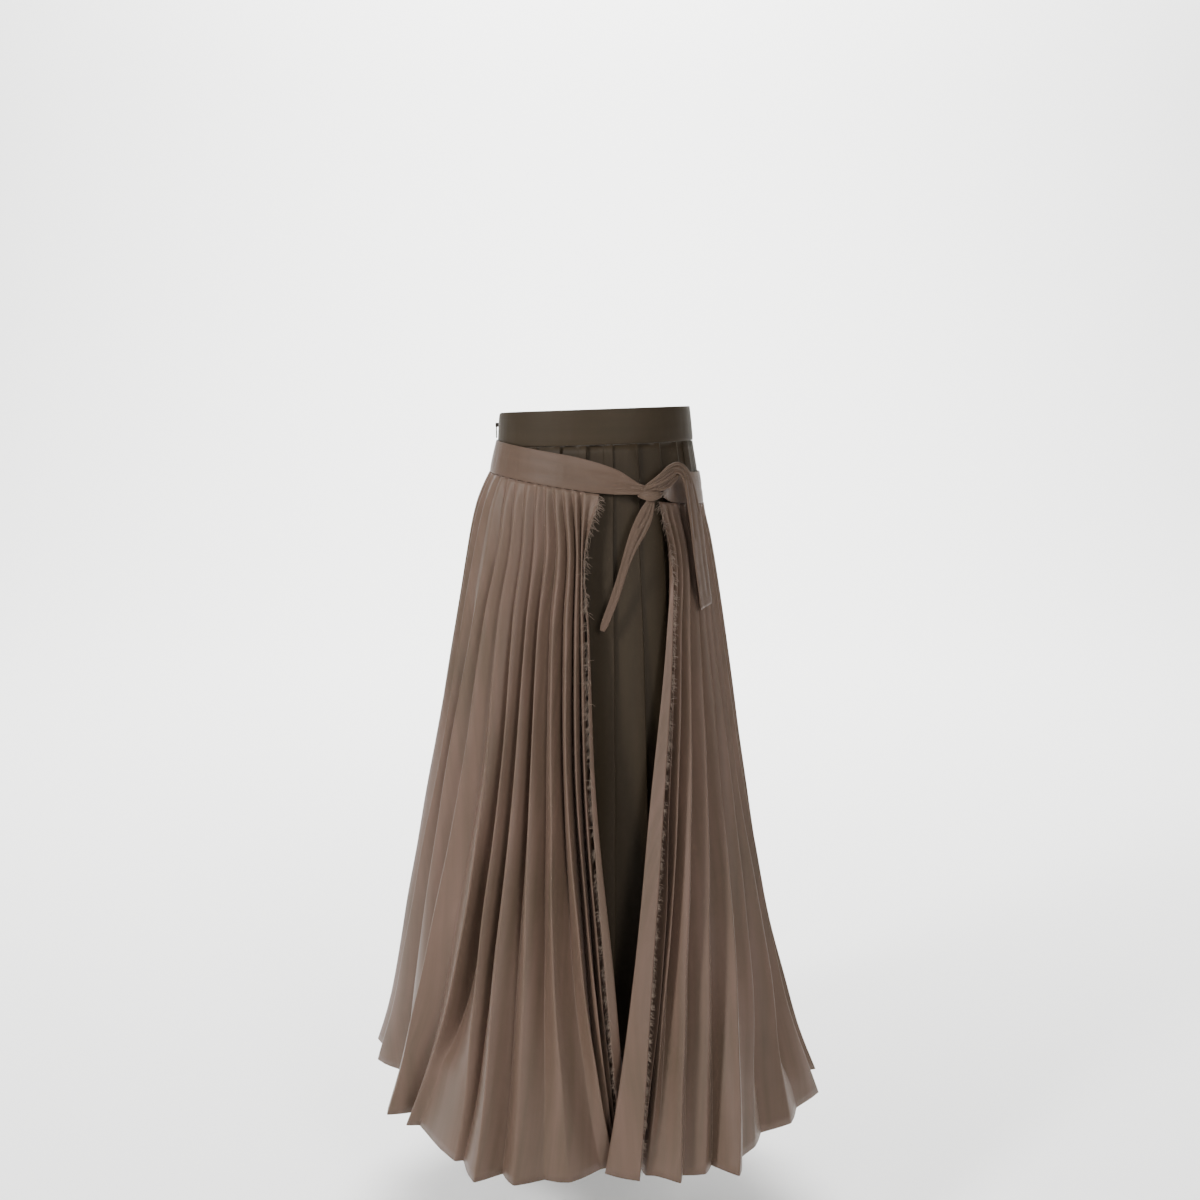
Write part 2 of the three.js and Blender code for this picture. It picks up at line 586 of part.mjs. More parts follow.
// A teardrop plate that hangs from its neck
function pullTabPlate() {
  const neck = slider.width / 2 - slider.lugWidth - slider.fit;
  const half = pullTab.width / 2;
  const top = pullTab.wall / 2;
  const roundAt = half - pullTab.length + top;
  const outline = new THREE.Shape();
  outline.moveTo(neck, top);
  outline.lineTo(-neck, top);
  outline.lineTo(-neck, -pullTab.neck);
  outline.quadraticCurveTo(-half, -pullTab.neck * 2, -half, roundAt);
  outline.absarc(0, roundAt, half, Math.PI, 2 * Math.PI, false);
  outline.quadraticCurveTo(half, -pullTab.neck * 2, neck, -pullTab.neck);
  outline.closePath();
  const press = { depth: pullTab.wall, bevelEnabled: false, curveSegments: 8 };
  const plate = new THREE.ExtrudeGeometry(outline, press);
  return plate.rotateX(Math.PI / 2).translate(0, -slider.base - slider.fit, -pullTab.pivotDrop);
}

const zipMetal = new THREE.MeshStandardMaterial({ color: colours.zip, roughness: 0.42, metalness: 0.6 });
onSlit.add(named('zip_slider', sliderBlock(), zipMetal));
onSlit.add(named('zip_pull_tab', pullTabPlate(), zipMetal));
skirt.add(onSlit);

export default skirt;
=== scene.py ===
import math
import bpy
import numpy as np
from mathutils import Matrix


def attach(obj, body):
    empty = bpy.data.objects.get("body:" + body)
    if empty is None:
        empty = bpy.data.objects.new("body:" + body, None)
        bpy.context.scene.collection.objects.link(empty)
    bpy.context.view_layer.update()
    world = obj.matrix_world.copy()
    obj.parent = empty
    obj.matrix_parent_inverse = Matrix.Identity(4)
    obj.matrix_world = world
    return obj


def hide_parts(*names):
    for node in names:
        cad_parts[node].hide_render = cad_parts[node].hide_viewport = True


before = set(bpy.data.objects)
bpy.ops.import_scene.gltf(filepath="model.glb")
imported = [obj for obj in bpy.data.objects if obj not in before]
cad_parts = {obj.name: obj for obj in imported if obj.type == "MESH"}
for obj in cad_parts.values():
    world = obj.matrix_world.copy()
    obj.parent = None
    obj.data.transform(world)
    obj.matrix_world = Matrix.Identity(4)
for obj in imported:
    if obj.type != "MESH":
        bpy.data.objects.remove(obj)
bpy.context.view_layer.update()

# Lengths in the tables are millimetres, as in the solids, and meshes are in metres
mm = 0.001

# Camera behind the wearer, a little above the waist and looking down
camera = {"place": (0.0036, -2.0, 0.2), "down": 12.55, "lens": 49.59, "sensor": 36}
cameraData = bpy.data.cameras.new("camera")
cameraData.lens = camera["lens"]
cameraData.sensor_width = camera["sensor"]
cameraObject = bpy.data.objects.new("camera", cameraData)
cameraObject.location = camera["place"]
cameraObject.rotation_euler = (math.radians(90 - camera["down"]), 0, 0)
bpy.context.collection.objects.link(cameraObject)
bpy.context.scene.camera = cameraObject


# Cubic curve through the values: each slope is the rise between the two neighbours over their distance
def smoothThrough(places, values, at):
    places = np.asarray(places, float)
    values = np.asarray(values, float)
    last = len(places) - 1
    before = np.maximum(np.arange(last + 1) - 1, 0)
    after = np.minimum(np.arange(last + 1) + 1, last)
    slope = (values[after] - values[before]) / (places[after] - places[before])
    at = np.clip(at, places[0], places[-1])
    i = np.clip(np.searchsorted(places, at, side="right") - 1, 0, last - 1)
    span = places[i + 1] - places[i]
    u = (at - places[i]) / span
    ease = u * u * (3 - 2 * u)
    leave = u * (1 - u) ** 2 * span * slope[i]
    arrive = u * u * (u - 1) * span * slope[i + 1]
    return values[i] + ease * (values[i + 1] - values[i]) + leave + arrive


def smoothTable(table, key, at):
    return {name: smoothThrough(table[key], column, at) for name, column in table.items() if name != key}


# Point on an oval round the body: x = width sin(angle), y = -depth cos(angle), moved out along its radius
def roundBody(angle, halves, out, z):
    turn = np.radians(angle)
    across = np.where(np.sin(turn) < 0, halves["left"], halves["right"])
    deep = np.where(np.cos(turn) > 0, halves["back"], halves["front"])
    x = across * np.sin(turn)
    y = -deep * np.cos(turn)
    grow = 1 + out / np.hypot(x, y)
    return np.stack([x * grow, y * grow, z + 0 * x], -1)


def edgeHeight(edge, angle):
    turn = np.radians(angle)
    return -edge["frontDrop"] * (1 - np.cos(turn)) + edge["sideRise"] * np.sin(turn)


def unit(vectors):
    return vectors / np.maximum(np.linalg.norm(vectors, axis=-1, keepdims=True), 1e-9)


# Smooth uneven wave: a sum of sines whose rates and phases come from a seed
def unevenWave(at, seed, rates=(1.3, 2.9, 5.3), sizes=(1, 0.5, 0.25)):
    seeded = np.random.default_rng(seed)
    phases = seeded.uniform(0, 2 * math.pi, len(rates))
    turns = [2 * math.pi * rate * at + phase for rate, phase in zip(rates, phases)]
    return sum(size * np.sin(turn) for size, turn in zip(sizes, turns))


# Distance walked to each point of a line, and the length of the whole line
def walkedAlong(line):
    return np.concatenate([[0], np.cumsum(np.linalg.norm(np.diff(line, axis=0), axis=-1))])


def lineLength(line):
    return np.linalg.norm(np.diff(line, axis=0), axis=-1).sum()


# Materials

def newMaterial(name):
    material = bpy.data.materials.new(name)
    material.use_nodes = True
    tree = material.node_tree
    return material, tree.nodes, tree.links, tree.nodes["Principled BSDF"]


# What all cloths share: noise details, where the ramp starts and ends, and the weave's height in metres
clothDetail = {
    "sheenRoughness": 0.45, "cloudDetail": 3, "streakDetail": 4, "darkEnd": 0.3, "lightEnd": 0.7,
    "weaveDistortion": 0.6, "weaveDetail": 2, "weaveHeight": 0.0002,
}


# Woven cloth: fine weave as bump, soft uneven colour from clouds and from streaks down the cloth
def clothMaterial(name, look):
    material, nodes, links, shader = newMaterial(name)
    shader.inputs["Roughness"].default_value = look["roughness"]
    shader.inputs["Sheen Weight"].default_value = look["sheen"]
    shader.inputs["Sheen Roughness"].default_value = clothDetail["sheenRoughness"]
    shader.inputs["Sheen Tint"].default_value = (*look["sheenTint"], 1)
    shader.inputs["Specular IOR Level"].default_value = look["specular"]
    place = nodes.new("ShaderNodeTexCoord")
    cloud = nodes.new("ShaderNodeTexNoise")
    cloud.inputs["Scale"].default_value = look["cloudScale"]
    cloud.inputs["Detail"].default_value = clothDetail["cloudDetail"]
    links.new(place.outputs["Object"], cloud.inputs["Vector"])
    stretch = nodes.new("ShaderNodeMapping")
    stretch.inputs["Scale"].default_value = look["streakScale"]
    links.new(place.outputs["UV"], stretch.inputs["Vector"])
    streak = nodes.new("ShaderNodeTexNoise")
    streak.inputs["Scale"].default_value = 1
    streak.inputs["Detail"].default_value = clothDetail["streakDetail"]
    links.new(stretch.outputs["Vector"], streak.inputs["Vector"])
    both = nodes.new("ShaderNodeMix")
    both.inputs["Factor"].default_value = look["streaks"]
    links.new(cloud.outputs["Fac"], both.inputs[2])
    links.new(streak.outputs["Fac"], both.inputs[3])
    ramp = nodes.new("ShaderNodeValToRGB")
    ramp.color_ramp.elements[0].position = clothDetail["darkEnd"]
    ramp.color_ramp.elements[0].color = (*look["dark"], 1)
    ramp.color_ramp.elements[1].position = clothDetail["lightEnd"]
    ramp.color_ramp.elements[1].color = (*look["light"], 1)
    links.new(both.outputs[0], ramp.inputs["Fac"])
    links.new(ramp.outputs["Color"], shader.inputs["Base Color"])
    weaveTurn = nodes.new("ShaderNodeMapping")
    weaveTurn.inputs["Rotation"].default_value = (0, 0, math.radians(look["weaveTurn"]))
    links.new(place.outputs["UV"], weaveTurn.inputs["Vector"])
    weave = nodes.new("ShaderNodeTexWave")
    weave.wave_profile = "SIN"
    weave.inputs["Scale"].default_value = look["weaveScale"]
    weave.inputs["Distortion"].default_value = clothDetail["weaveDistortion"]
    weave.inputs["Detail"].default_value = clothDetail["weaveDetail"]
    links.new(weaveTurn.outputs["Vector"], weave.inputs["Vector"])
    bump = nodes.new("ShaderNodeBump")
    bump.inputs["Strength"].default_value = look["weaveStrength"]
    bump.inputs["Distance"].default_value = clothDetail["weaveHeight"]
    links.new(weave.outputs["Fac"], bump.inputs["Height"])
    links.new(bump.outputs["Normal"], shader.inputs["Normal"])
    return material


overLook = {
    "roughness": 0.5, "sheen": 0.07, "sheenTint": (0.8, 0.66, 0.58), "specular": 0.24,
    "cloudScale": 7, "streakScale": (90, 5, 1), "streaks": 0.5,
    "dark": (0.078, 0.053, 0.035), "light": (0.122, 0.075, 0.056),
    "weaveTurn": 62, "weaveScale": 420, "weaveStrength": 0.25,
}
innerLook = {
    "roughness": 0.6, "sheen": 0.06, "sheenTint": (0.6, 0.5, 0.38), "specular": 0.2,
    "cloudScale": 6, "streakScale": (80, 4, 1), "streaks": 0.5,
    "dark": (0.0205, 0.0134, 0.0062), "light": (0.028, 0.0184, 0.009),
    "weaveTurn": 0, "weaveScale": 480, "weaveStrength": 0.2,
}
zipLook = {
    **innerLook, "dark": (0.014, 0.011, 0.008), "light": (0.02, 0.016, 0.012),
    "weaveTurn": 90, "weaveScale": 260,
}
threadLook = {
    **overLook, "dark": (0.12, 0.085, 0.065), "light": (0.3, 0.23, 0.18), "roughness": 0.6,
}
beltLook = {
    **overLook, "dark": (0.066, 0.043, 0.029), "light": (0.09, 0.057, 0.041),
    "specular": 0.16, "weaveTurn": 45,
}
overCloth = clothMaterial("overskirtSatin", overLook)
beltCloth = clothMaterial("beltSatin", beltLook)
innerCloth = clothMaterial("innerWeave", innerLook)
zipCloth = clothMaterial("zipTape", zipLook)
threadCloth = clothMaterial("looseThread", threadLook)


metalLook = {
    "metallic": 0.1, "specular": 0.35, "wearScale": 900,
    "dark": (0.012, 0.009, 0.007), "light": (0.05, 0.04, 0.032), "smoothest": 0.4, "roughest": 0.6,
}


# Dark enamelled metal with fine wear
def metalMaterial():
    material, nodes, links, shader = newMaterial("zipMetal")
    shader.inputs["Metallic"].default_value = metalLook["metallic"]
    shader.inputs["Specular IOR Level"].default_value = metalLook["specular"]
    place = nodes.new("ShaderNodeTexCoord")
    wear = nodes.new("ShaderNodeTexNoise")
    wear.inputs["Scale"].default_value = metalLook["wearScale"]
    links.new(place.outputs["Object"], wear.inputs["Vector"])
    ramp = nodes.new("ShaderNodeValToRGB")
    ramp.color_ramp.elements[0].color = (*metalLook["dark"], 1)
    ramp.color_ramp.elements[1].color = (*metalLook["light"], 1)
    links.new(wear.outputs["Fac"], ramp.inputs["Fac"])
    links.new(ramp.outputs["Color"], shader.inputs["Base Color"])
    rough = nodes.new("ShaderNodeMapRange")
    rough.inputs["To Min"].default_value = metalLook["smoothest"]
    rough.inputs["To Max"].default_value = metalLook["roughest"]
    links.new(wear.outputs["Fac"], rough.inputs["Value"])
    links.new(rough.outputs["Result"], shader.inputs["Roughness"])
    return material


zipMetal = metalMaterial()


# Meshes

# Quads over a grid of points (rows, columns), numbered from first; a ring's last column joins its first
def gridFaces(rows, columns, ring, first=0):
    place = np.arange(rows * columns).reshape(rows, columns) + first
    right = np.roll(place, -1, axis=1) if ring else place[:, 1:]
    left = place if ring else place[:, :-1]
    return np.stack([left[:-1], left[1:], right[1:], right[:-1]], -1).reshape(-1, 4)


def gridPiece(name, points, uv, material, shell=0, ring=False):
    faces = gridFaces(*points.shape[:2], ring)
    return meshPiece(name, points.reshape(-1, 3), faces, uv.reshape(-1, 2), material, shell)


def meshPiece(name, points, faces, uv, material, shell=0):
    mesh = bpy.data.meshes.new(name)
    mesh.from_pydata((points * mm).tolist(), [], faces.tolist())
    layer = mesh.uv_layers.new(name="cloth")
    corners = np.empty(len(mesh.loops), dtype=np.int32)
    mesh.loops.foreach_get("vertex_index", corners)
    layer.data.foreach_set("uv", (uv[corners] * mm).ravel())
    mesh.polygons.foreach_set("use_smooth", np.ones(len(mesh.polygons), dtype=bool))
    mesh.materials.append(material)
    piece = bpy.data.objects.new(name, mesh)
    bpy.context.collection.objects.link(piece)
    if shell:
        solid = piece.modifiers.new("shell", "SOLIDIFY")
        solid.thickness = shell * mm
        solid.offset = 0
    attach(piece, "skirt")
    return piece


# Cloth coordinates of a grid: distance walked across each row from its middle, and down each column
def walked(points):
    steps = np.linalg.norm(np.diff(points, axis=1), axis=-1)
    across = np.concatenate([np.zeros((len(points), 1)), np.cumsum(steps, 1)], 1)
    across -= across[:, across.shape[1] // 2][:, None]
    down = walkedAlong(points[:, 0])
    return np.stack([across, np.broadcast_to(-down[:, None], across.shape)], -1)


# Half-widths of the body's oval at each depth, and how far a knife pleat's inner fold lies under and behind
# its outer fold
innerSections = {
    "depth": [-20, 41, 85, 126, 162, 255, 351, 448, 638, 836],
    "left": [117, 120, 123, 123.5, 125, 136.5, 146, 154, 172, 198],
    "right": [109.5, 116, 123, 123.5, 125, 136.5, 146, 154, 172, 198],
    "back": [88, 91, 96.5, 100.5, 105.5, 121.5, 139, 155, 181, 199],
    "front": [88, 91, 95.5, 99.5, 104.5, 119, 136, 151, 177, 197],
    "under": [12, 12, 12, 12, 12, 11, 10, 8.5, 5.5, 3.5],
    "behind": [2.4, 2.4, 2.6, 3, 3.8, 6, 8.6, 12, 17.5, 23],
}
# Half-widths of the overskirt's oval from seam (0) to hem (1), and the width of a pleat's face
overSections = {
    "along": [0, 0.02, 0.05, 0.1, 0.19, 0.3, 0.43, 0.56, 0.7, 0.8, 0.9, 1],
    "left": [131, 139, 148, 157, 169, 184.5, 202.5, 220.5, 239.5, 253, 268.5, 290],
    "right": [130.5, 133.5, 139, 146, 157, 169, 182.5, 198.5, 217, 233.5, 253, 278],
    "back": [105.5, 109.5, 116, 123.5, 139.5, 161, 186, 211, 236, 256, 273, 287],
    "front": [107, 111, 116, 122.5, 137.5, 158.5, 182.5, 208, 234, 254, 272, 286],
    "face": [6, 9, 11, 13, 16.5, 20.5, 25, 29.5, 33.5, 36.5, 39, 42.5],
}
# Inset is a part of the wall; degree is the length of one degree of the band at the zip
waistband = {
    "height": 41, "wall": 2.6, "inset": 0.25, "frontDrop": 9, "sideRise": 4, "slit": 0.6, "seam": -92,
    "endDrop": 4, "corner": 9, "degree": 2.1, "stations": 361,
    "skin": {"seed": 81, "ripple": 0.12, "square": 0.42, "ends": True},
}
belt = {
    "height": 38, "wall": 1.8, "top": -58, "frontDrop": 7, "sideRise": -19, "highOut": 2, "lowOut": -1,
    "start": 40, "end": 360, "stations": 321, "rightStations": 26, "leftStations": 46,
    "skin": {"seed": 31, "ripple": 0.25, "square": 0.42, "ends": False},
}


def innerHalves(z):
    return smoothTable(innerSections, "depth", -z)


# Overskirt. Its widths meet at a column of the face after a ridge: one ridge past the right ones that show,
# at the middle of the hidden ones, and two ridges before the left ones that show
levelPlaces = [0, 0.087, 0.203, 0.442, 0.706, 1]
overskirt = {
    "hem": -864, "hiddenPleats": 34, "shallowest": 0.3, "gap": 0.3, "shell": 0.8, "rows": 96, "rowLean": 1.15,
    "rightSeam": 1, "leftSeam": 2, "seamColumn": 4, "measured": 10,
}
overSeeds = {"right": 20, "left": 60, "hidden": 100, "ridgeOut": 500, "hiddenOut": 700, "faces": 900}
# A row has the fold's places in degrees at seam, hip, upper, middle, lower and hem, then how far it stands
# out at each, in parts of a face's width
rightEdge = [
    [(34, 37.5, 34, 25, 17, 9.9), (0, 0, 0.06, 0.1, 0.1, 0.22)],
    [(35, 38.2, 31.5, 20, 11.2, 1.9), (-0.2, -0.35, -0.1, -0.04, -0.03, -0.25)],
    [(36, 39.2, 36, 27, 19, 9.3), (-0.3, -0.75, -0.8, -0.8, -0.8, -0.75)],
]
leftEdge = [
    [(-2.5, -6.1, -4.8, -2.4, 2.2, 3.7), (-0.4, -0.75, -0.85, -0.85, -0.8, -1.42)],
    [(0.4, -5.5, -3.1, -0.3, 5.3, 9.6), (-0.2, -0.35, -0.12, -0.04, -0.06, -1.22)],
    [(1.3, -5, -3.6, -1.7, 2.5, 7.2), (0, 0, 0.06, 0.1, 0.08, -1.08)],
]
# After a ridge's places come its out at the hem, and there the next valley's part of its depth and its shift
rightRidges = [
    [(38, 41, 35.6, 28.1, 20.8, 10.9), -0.45, 0.3, 0],
    [(42, 44.5, 38.9, 31.1, 22.5, 11.6), -0.05, 0.25, -1],
    [(47, 49, 44.2, 37.1, 27.4, 18.6), 0.56, 0.3, -1.8],
    [(52.5, 53.5, 50.8, 45, 36.8, 25), 0.43, 0.65, 0],
    [(58, 58.5, 56.5, 53.5, 45.9, 31.2), 0.95, 0.4, -1],
    [(63, 63.5, 62.2, 62, 58.1, 41.5), 0.12, 0.75, -1.2],
    [(68, 69, 68.2, 68.5, 68.9, 56), 0.24, 1, -1],
    [(74, 75.5, 74, 76, 76.5, 72.5), 0.42, 1, 0],
]
leftRidges = [
    [(-75, -77, -80, -84, -93, -100), 0.35, 0.4, 0],
    [(-66, -67.5, -70.5, -70, -81, -88.5), 0, 0.6, 2],
    [(-58, -55.8, -58.7, -64.2, -69, -79), -0.7, 0.4, 1],
    [(-51, -47.5, -51.4, -52.3, -57, -60), 0.2, 0.8, -1],
    [(-44, -40.3, -43, -40.6, -43.2, -54), 0, 1.55, -8.1],
    [(-36.5, -33.6, -34.9, -33.6, -35, -33.7), 0.33, 0.6, -2.6],
    [(-31, -27.9, -29, -28.1, -28.1, -25.6), 0.9, 0.68, 0],
    [(-26, -22, -23.5, -22.2, -20.2, -16.9), 0.72, 0.4, 0],
    [(-21, -16.7, -17.5, -15.2, -12.1, -5.4), 0.23, 0.4, 1.3],
    [(-15.5, -11.8, -12.1, -9.9, -4, 4.9), -0.62, 0.1, -3.2],
    [(-10.5, -8.5, -8.3, -6.4, -1.3, 5.7), -0.88, 0.08, -3.5],
    [(-6, -6.4, -5.7, -3.5, 0.8, 6.4), -1.1, 0, 0],
]
hiddenSway = {"turn": 0.9, "turnRate": 2.4, "out": 0.16, "outRate": 1.7}
sideFlare = {"pleat": 2, "out": 0.45}
# How unevenly the ridges hang: parts of a face's width at the hem, and degrees
unevenness = {"out": 0.05, "turn": 0.35}


def overHeight(angle, along):
    top = belt["top"] - belt["height"] - overskirt["gap"] + edgeHeight(belt, angle)
    return top + (overskirt["hem"] - top) * along


def ridgeFold(row, turns, along, seed):
    angle = smoothThrough(levelPlaces, row[0], along) + 360 * turns
    angle = angle + unevenness["turn"] * unevenWave(along, seed) * along
    low = along ** 3
    out = row[1] * low + unevenness["out"] * unevenWave(along, seed + overSeeds["ridgeOut"]) * along
    return angle, out, 1 + (row[2] - 1) * low, row[3] * low


# Ridges hidden at the front are evenly spread between the last ones that show
def hiddenFold(index, along, start, end):
    part = (index + 1) / (overskirt["hiddenPleats"] + 1)
    sway = hiddenSway["turn"] * math.sin(hiddenSway["turnRate"] * index) * math.sin(math.pi * part)
    flare = sideFlare["out"] if overskirt["hiddenPleats"] - index == sideFlare["pleat"] else 0
    out = hiddenSway["out"] * math.sin(hiddenSway["outRate"] * index) + flare
    wander = unevenness["turn"] * unevenWave(along, overSeeds["hidden"] + index) * along
    angle = start[0] + (end[0] - start[0]) * part + sway * along + wander
    drift = unevenness["out"] * unevenWave(along, overSeeds["hiddenOut"] + index) * along
    return angle, out * along ** 3 + drift, 1, 0


# All fold lines, as points over (fold, row): ridges with a valley one face's width away between each two
def overFolds(along):
    halves = smoothTable(overSections, "along", along)
    place = lambda angle, out: roundBody(angle, halves, out * halves["face"], overHeight(angle, along))
    right = [ridgeFold(row, 0, along, overSeeds["right"] + i) for i, row in enumerate(rightRidges)]
    left = [ridgeFold(row, 1, along, overSeeds["left"] + i) for i, row in enumerate(leftRidges)]
    hidden = [hiddenFold(i, along, right[-1], left[0]) for i in range(overskirt["hiddenPleats"])]
    ridges = right + hidden + left
    edge = lambda row, turns: place(smoothThrough(levelPlaces, row[0], along) + 360 * turns,
                                    smoothThrough(levelPlaces, row[1], along))
    folds = [edge(row, 0) for row in rightEdge]
    for here, following in zip(ridges, ridges[1:]):
        folds.append(place(*here[:2]))
        half = np.linalg.norm(place(*here[:2]) - place(*following[:2]), axis=-1) / 2 / halves["face"]
        depth = np.sqrt(np.maximum(1 - half ** 2, overskirt["shallowest"] ** 2)) * here[2]
        folds.append(place((here[0] + following[0]) / 2 + here[3], (here[1] + following[1]) / 2 - depth))
    folds.append(place(*ridges[-1][:2]))
    folds += [edge(row, 1) for row in leftEdge]
    return np.array(folds)


# Faces between folds: columns near each fold keep it crisp, and the fold itself is drawn in to round it.
# Near is in millimetres, most and inside are parts of a face's width, bow and bulge are parts of it outward.
faceColumns = {
    "near": 1.6, "most": 0.22, "inside": (0.34, 0.5, 0.66), "round": 0.225, "bow": 0.035, "bulge": 0.02,
    "bendRates": (0.8, 1.9, 3.7), "leastWidth": 0.1,
}
perFace = 3 + len(faceColumns["inside"])


# Bulge of a face, at a part of its width counted from the valley: the part squared times the part that is
# left, over the most that this gives, which is at two thirds
def bulgeAt(part):
    most = 4 / 27
    return part ** 2 * (1 - part) / most


# Grid over (row, column) through the folds; the first and last flat faces have no bulge
def clothFaces(folds, seed, closed=False, flat=0):
    ahead = np.roll(folds, -1, axis=0)
    behind = np.roll(folds, 1, axis=0)
    if not closed:
        ahead[-1] = folds[-1]
        behind[0] = folds[0]
    stretch = np.linalg.norm(ahead - folds, axis=-1, keepdims=True)
    back = np.linalg.norm(behind - folds, axis=-1, keepdims=True)
    least = faceColumns["leastWidth"]
    near = np.minimum(faceColumns["near"] / np.maximum(stretch, least), faceColumns["most"])
    nearBack = np.minimum(faceColumns["near"] / np.maximum(back, least), faceColumns["most"])
    rounded = folds + faceColumns["round"] * (near * (ahead - folds) + nearBack * (behind - folds))
    if not closed:
        rounded[0] = folds[0]
        rounded[-1] = folds[-1]
    nearAhead = np.roll(nearBack, -1, axis=0)
    normal = unit(np.cross(ahead - folds, np.array([0, 0, 1.0]))) * stretch
    along = np.linspace(0, 1, folds.shape[1])
    columns = []
    count = len(folds) if closed else len(folds) - 1
    for k in range(count):
        columns.append(rounded[k])
        bend = unevenWave(along, seed + k, faceColumns["bendRates"])[:, None]
        for part in [near[k], *faceColumns["inside"], 1 - nearAhead[k]]:
            bow = faceColumns["bow"] * 4 * part * (1 - part) * bend
            if flat and flat <= k < count - flat:
                bow = bow + faceColumns["bulge"] * bulgeAt(1 - part if (k - flat) % 2 == 0 else part)
            columns.append(folds[k] + part * (ahead[k] - folds[k]) + bow * normal[k])
    if not closed:
        columns.append(rounded[-1])
    return np.stack(columns, 1)


def buildOverskirt():
    along = np.linspace(0, 1, overskirt["rows"]) ** overskirt["rowLean"]
    folds = overFolds(along)
    hidden = overskirt["hiddenPleats"]
    ridges = [overskirt["rightSeam"], hidden // 2, hidden - overskirt["leftSeam"]]
    seamFolds = [len(rightEdge) + 2 * (len(rightRidges) + ridge) for ridge in ridges]
    seams = [0, *(perFace * fold + overskirt["seamColumn"] for fold in seamFolds), perFace * (len(folds) - 1)]
    grid = clothFaces(folds, overSeeds["faces"], flat=len(rightEdge))
    names = ["overskirt_right_back", "overskirt_right_front", "overskirt_left_front", "overskirt_left_back"]
    pieces = []
    for name, first, last in zip(names, seams, seams[1:]):
        part = grid[:, first:last + 1]
        piece = gridPiece(name + "_cloth", part, walked(part), overCloth, overskirt["shell"])
        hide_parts(name)
        sizes = [lineLength(line) for line in (part[-1], part[0], part[:, overskirt["measured"]])]
        print(name, "hem {:.0f} top {:.0f} length {:.0f}".format(*sizes))
        pieces.append(piece)
    return pieces, folds


overPieces, overFoldLines = buildOverskirt()
print("overskirt made")

# Inner skirt of knife pleats, each an outer fold and an inner fold tucked back under it
innerSkirt = {
    "pleats": 24, "hem": -836, "firstFold": 9.5, "drift": -3, "sway": 0.25, "gap": 0.45, "shell": 0.8,
    "rows": 80, "foldSeed": 300, "faceSeed": 1300,
}


def buildInnerSkirt():
    along = np.linspace(0, 1, innerSkirt["rows"])
    top = -waistband["height"] - innerSkirt["gap"]
    z = top + (innerSkirt["hem"] - top) * along
    halves = innerHalves(z)
    folds = []
    for k in range(innerSkirt["pleats"]):
        turned = 360 / innerSkirt["pleats"] * (k - innerSkirt["pleats"] / 2)
        angle = innerSkirt["firstFold"] + innerSkirt["drift"] * along + turned
        angle = angle + innerSkirt["sway"] * unevenWave(along, innerSkirt["foldSeed"] + k) * along
        degree = np.linalg.norm(roundBody(angle, halves, 0, z) - roundBody(angle - 1, halves, 0, z), axis=-1)
        tucked = angle - halves["under"] / degree
        for turn, out in ((angle, 0), (tucked, -halves["behind"])):
            folds.append(roundBody(turn, halves, out, z + edgeHeight(waistband, turn) * (1 - along)))
    grid = clothFaces(np.array(folds), innerSkirt["faceSeed"], closed=True)
    grid = np.concatenate([grid, grid[:, :1]], 1)
    piece = gridPiece("inner_skirt_cloth", grid, walked(grid), innerCloth, innerSkirt["shell"])
    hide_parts("inner_skirt_back", "inner_skirt_front")
    print("inner skirt hem {:.0f} top {:.0f}".format(lineLength(grid[-1]), lineLength(grid[0])))
    return piece


innerPiece = buildInnerSkirt()
print("inner skirt made")

# Bands

# A band between two edge lines: a flat loop of two skins with rounded edges, its front and back
# moved together by soft troughs and by a slow and a quick wave. Wave and ripple are their lengths.
bandSkin = {"sides": 72, "spread": 0.8, "endWall": 0.05, "wave": 60, "ripple": 25, "quick": 0.4, "fade": 0.6}


# A trough's row: start and end along the band, its place across the band there (0 low, 1 high),
# half width and depth. Its depth grows and falls as a parabola, with the fade's part added in the second half.
def troughRelief(troughs, part, along, wide):
    relief = np.zeros((len(along), part.shape[-1]))
    for start, end, here, there, half, depth in troughs:
        way = np.clip((along - start) / (end - start), 0, 1)
        middle = here + (there - here) * way
        inside = np.clip(4 * way * (1 - way) + bandSkin["fade"] * (way > 0.5), 0, 1)
        inside = inside * (along >= start) * (along <= end)
        relief -= depth * inside * np.exp(-((part - middle) * wide / half) ** 2)
    return relief


